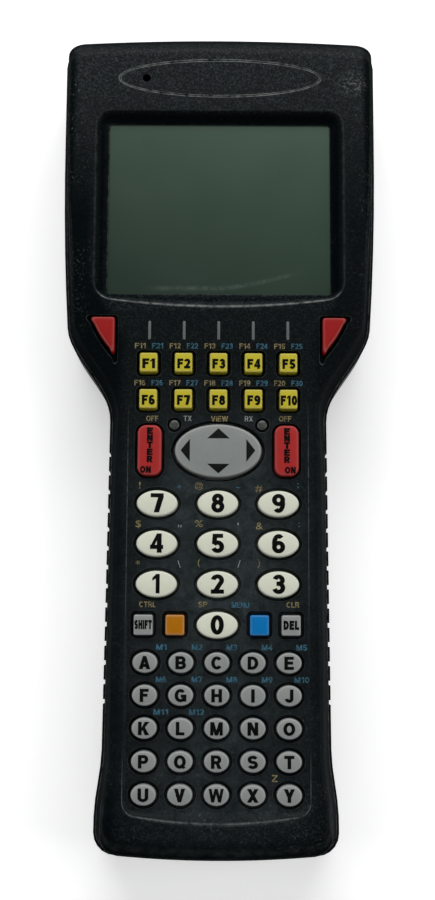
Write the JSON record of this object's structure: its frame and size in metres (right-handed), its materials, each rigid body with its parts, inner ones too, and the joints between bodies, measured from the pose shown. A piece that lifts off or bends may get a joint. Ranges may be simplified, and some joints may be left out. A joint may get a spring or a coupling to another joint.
{
  "type": "portable barcode data terminal",
  "caption": "Long hand-held data terminal with a wide display head, narrow grip of push keys, arrow rocker, scan window and hinged battery pack.",
  "frame": {"origin": "centre of the bounding box's footprint on the surface that the back rests on", "axes": "+X to the right of a person reading the display, +Y towards the display end, +Z out of the front face"},
  "size_m": [0.104, 0.268, 0.0398],
  "materials": {
    "case": "black moulded plastic with a fine spark-eroded grain, worn at the edges",
    "seal": "black elastomer",
    "window": "clear window with a grey-green display under it",
    "lcd": "grey-green liquid crystal panel",
    "steel": "plain steel",
    "board": "green solder mask",
    "card": "blue solder mask",
    "black_part": "plain black plastic",
    "mat": "grey silicone sheet",
    "light": "frosted light pipe",
    "badge": "fine matt plate",
    "scan_red": "dark red filter window",
    "cell": "blue sleeve",
    "gold": "gold-flashed contact",
    "key_red": "red silicone, satin",
    "key_grey": "grey silicone, satin",
    "key_pale": "pale grey silicone, satin",
    "key_yellow": "yellow silicone, satin",
    "key_orange": "orange silicone, satin",
    "key_blue": "blue silicone, satin"
  },
  "bodies": {
    "housing": {"front_housing": "case", "rear_housing": "case", "housing_seal": "seal", "display_window": "window", "window_gasket": "seal", "lcd_panel": "lcd", "lcd_frame": "steel", "main_board": "board", "radio_card": "card", "beeper": "black_part", "keypad_board": "board", "keypad_mat": "mat", "status_lights": "light", "badge_plate": "badge", "scan_window": "scan_red", "scan_engine": "black_part", "bay_contacts": "gold", "latch_spring": "steel", "case_screws": "steel", "dock_connector": "black_part"},
    "battery_pack": {"battery_case": "case", "battery_lid": "black_part", "battery_cells": "cell", "battery_contacts": "gold"},
    "latch": {"battery_latch": "case"},
    "rocker_pivot": {"nav_pivot": "steel"},
    "rocker": {"nav_key": "key_grey"},
    "scan_left_button": {"key_scan_left": "key_red"},
    "scan_right_button": {"key_scan_right": "key_red"},
    "enter_left_button": {"key_enter_left": "key_red"},
    "enter_right_button": {"key_enter_right": "key_red"},
    "shift_button": {"key_shift": "key_grey"},
    "orange_button": {"key_orange": "key_orange"},
    "blue_button": {"key_blue": "key_blue"},
    "delete_button": {"key_delete": "key_grey"},
    "a_to_e_row": {"keys_a_to_e": "key_grey"},
    "f_to_j_row": {"keys_f_to_j": "key_grey"},
    "k_to_o_row": {"keys_k_to_o": "key_grey"},
    "p_to_t_row": {"keys_p_to_t": "key_grey"},
    "u_to_y_row": {"keys_u_to_y": "key_grey"},
    "digit_0_button": {"key_0": "key_pale"},
    "digit_1_button": {"key_1": "key_pale"},
    "digit_2_button": {"key_2": "key_pale"},
    "digit_3_button": {"key_3": "key_pale"},
    "digit_4_button": {"key_4": "key_pale"},
    "digit_5_button": {"key_5": "key_pale"},
    "digit_6_button": {"key_6": "key_pale"},
    "digit_7_button": {"key_7": "key_pale"},
    "digit_8_button": {"key_8": "key_pale"},
    "digit_9_button": {"key_9": "key_pale"},
    "f1_button": {"key_f1": "key_yellow"},
    "f2_button": {"key_f2": "key_yellow"},
    "f3_button": {"key_f3": "key_yellow"},
    "f4_button": {"key_f4": "key_yellow"},
    "f5_button": {"key_f5": "key_yellow"},
    "f6_button": {"key_f6": "key_yellow"},
    "f7_button": {"key_f7": "key_yellow"},
    "f8_button": {"key_f8": "key_yellow"},
    "f9_button": {"key_f9": "key_yellow"},
    "f10_button": {"key_f10": "key_yellow"}
  },
  "joints": [
    {"name": "battery_tilt", "type": "hinge", "parent": "housing", "child": "battery_pack", "pos_m": [0, -0.109, 0.01], "axis": [-1, 0, 0], "range_deg": [0, 60]},
    {"name": "latch_slide", "type": "slide", "parent": "housing", "child": "latch", "axis": [0, 1, 0], "range_m": [0, 0.003], "stiffness_N_per_m": 400, "deforming": ["latch_spring"]},
    {"name": "rocker_up_down", "type": "hinge", "parent": "housing", "child": "rocker_pivot", "pos_m": [0, -0.0065, 0.0336], "axis": [1, 0, 0], "range_deg": [-3, 3], "stiffness_Nm_per_rad": 0.3},
    {"name": "rocker_left_right", "type": "hinge", "parent": "rocker_pivot", "child": "rocker", "pos_m": [0, -0.0065, 0.0336], "axis": [0, 1, 0], "range_deg": [-3, 3], "stiffness_Nm_per_rad": 0.3},
    {"name": "scan_left_press", "type": "slide", "parent": "housing", "child": "scan_left_button", "axis": [0, 0, 1], "range_m": [-0.0012, 0], "stiffness_N_per_m": 600},
    {"name": "scan_right_press", "type": "slide", "parent": "housing", "child": "scan_right_button", "axis": [0, 0, 1], "range_m": [-0.0012, 0], "stiffness_N_per_m": 600},
    {"name": "enter_left_press", "type": "slide", "parent": "housing", "child": "enter_left_button", "axis": [0, 0, 1], "range_m": [-0.0012, 0], "stiffness_N_per_m": 600},
    {"name": "enter_right_press", "type": "slide", "parent": "housing", "child": "enter_right_button", "axis": [0, 0, 1], "range_m": [-0.0012, 0], "stiffness_N_per_m": 600},
    {"name": "shift_press", "type": "slide", "parent": "housing", "child": "shift_button", "axis": [0, 0, 1], "range_m": [-0.0012, 0], "stiffness_N_per_m": 600},
    {"name": "orange_press", "type": "slide", "parent": "housing", "child": "orange_button", "axis": [0, 0, 1], "range_m": [-0.0012, 0], "stiffness_N_per_m": 600},
    {"name": "blue_press", "type": "slide", "parent": "housing", "child": "blue_button", "axis": [0, 0, 1], "range_m": [-0.0012, 0], "stiffness_N_per_m": 600},
    {"name": "delete_press", "type": "slide", "parent": "housing", "child": "delete_button", "axis": [0, 0, 1], "range_m": [-0.0012, 0], "stiffness_N_per_m": 600},
    {"name": "a_to_e_row_press", "type": "slide", "parent": "housing", "child": "a_to_e_row", "axis": [0, 0, 1], "range_m": [-0.0012, 0], "stiffness_N_per_m": 600},
    {"name": "f_to_j_row_press", "type": "slide", "parent": "housing", "child": "f_to_j_row", "axis": [0, 0, 1], "range_m": [-0.0012, 0], "stiffness_N_per_m": 600},
    {"name": "k_to_o_row_press", "type": "slide", "parent": "housing", "child": "k_to_o_row", "axis": [0, 0, 1], "range_m": [-0.0012, 0], "stiffness_N_per_m": 600},
    {"name": "p_to_t_row_press", "type": "slide", "parent": "housing", "child": "p_to_t_row", "axis": [0, 0, 1], "range_m": [-0.0012, 0], "stiffness_N_per_m": 600},
    {"name": "u_to_y_row_press", "type": "slide", "parent": "housing", "child": "u_to_y_row", "axis": [0, 0, 1], "range_m": [-0.0012, 0], "stiffness_N_per_m": 600},
    {"name": "digit_0_press", "type": "slide", "parent": "housing", "child": "digit_0_button", "axis": [0, 0, 1], "range_m": [-0.0012, 0], "stiffness_N_per_m": 600},
    {"name": "digit_1_press", "type": "slide", "parent": "housing", "child": "digit_1_button", "axis": [0, 0, 1], "range_m": [-0.0012, 0], "stiffness_N_per_m": 600},
    {"name": "digit_2_press", "type": "slide", "parent": "housing", "child": "digit_2_button", "axis": [0, 0, 1], "range_m": [-0.0012, 0], "stiffness_N_per_m": 600},
    {"name": "digit_3_press", "type": "slide", "parent": "housing", "child": "digit_3_button", "axis": [0, 0, 1], "range_m": [-0.0012, 0], "stiffness_N_per_m": 600},
    {"name": "digit_4_press", "type": "slide", "parent": "housing", "child": "digit_4_button", "axis": [0, 0, 1], "range_m": [-0.0012, 0], "stiffness_N_per_m": 600},
    {"name": "digit_5_press", "type": "slide", "parent": "housing", "child": "digit_5_button", "axis": [0, 0, 1], "range_m": [-0.0012, 0], "stiffness_N_per_m": 600},
    {"name": "digit_6_press", "type": "slide", "parent": "housing", "child": "digit_6_button", "axis": [0, 0, 1], "range_m": [-0.0012, 0], "stiffness_N_per_m": 600},
    {"name": "digit_7_press", "type": "slide", "parent": "housing", "child": "digit_7_button", "axis": [0, 0, 1], "range_m": [-0.0012, 0], "stiffness_N_per_m": 600},
    {"name": "digit_8_press", "type": "slide", "parent": "housing", "child": "digit_8_button", "axis": [0, 0, 1], "range_m": [-0.0012, 0], "stiffness_N_per_m": 600},
    {"name": "digit_9_press", "type": "slide", "parent": "housing", "child": "digit_9_button", "axis": [0, 0, 1], "range_m": [-0.0012, 0], "stiffness_N_per_m": 600},
    {"name": "f1_press", "type": "slide", "parent": "housing", "child": "f1_button", "axis": [0, 0, 1], "range_m": [-0.0012, 0], "stiffness_N_per_m": 600},
    {"name": "f2_press", "type": "slide", "parent": "housing", "child": "f2_button", "axis": [0, 0, 1], "range_m": [-0.0012, 0], "stiffness_N_per_m": 600},
    {"name": "f3_press", "type": "slide", "parent": "housing", "child": "f3_button", "axis": [0, 0, 1], "range_m": [-0.0012, 0], "stiffness_N_per_m": 600},
    {"name": "f4_press", "type": "slide", "parent": "housing", "child": "f4_button", "axis": [0, 0, 1], "range_m": [-0.0012, 0], "stiffness_N_per_m": 600},
    {"name": "f5_press", "type": "slide", "parent": "housing", "child": "f5_button", "axis": [0, 0, 1], "range_m": [-0.0012, 0], "stiffness_N_per_m": 600},
    {"name": "f6_press", "type": "slide", "parent": "housing", "child": "f6_button", "axis": [0, 0, 1], "range_m": [-0.0012, 0], "stiffness_N_per_m": 600},
    {"name": "f7_press", "type": "slide", "parent": "housing", "child": "f7_button", "axis": [0, 0, 1], "range_m": [-0.0012, 0], "stiffness_N_per_m": 600},
    {"name": "f8_press", "type": "slide", "parent": "housing", "child": "f8_button", "axis": [0, 0, 1], "range_m": [-0.0012, 0], "stiffness_N_per_m": 600},
    {"name": "f9_press", "type": "slide", "parent": "housing", "child": "f9_button", "axis": [0, 0, 1], "range_m": [-0.0012, 0], "stiffness_N_per_m": 600},
    {"name": "f10_press", "type": "slide", "parent": "housing", "child": "f10_button", "axis": [0, 0, 1], "range_m": [-0.0012, 0], "stiffness_N_per_m": 600}
  ]
}
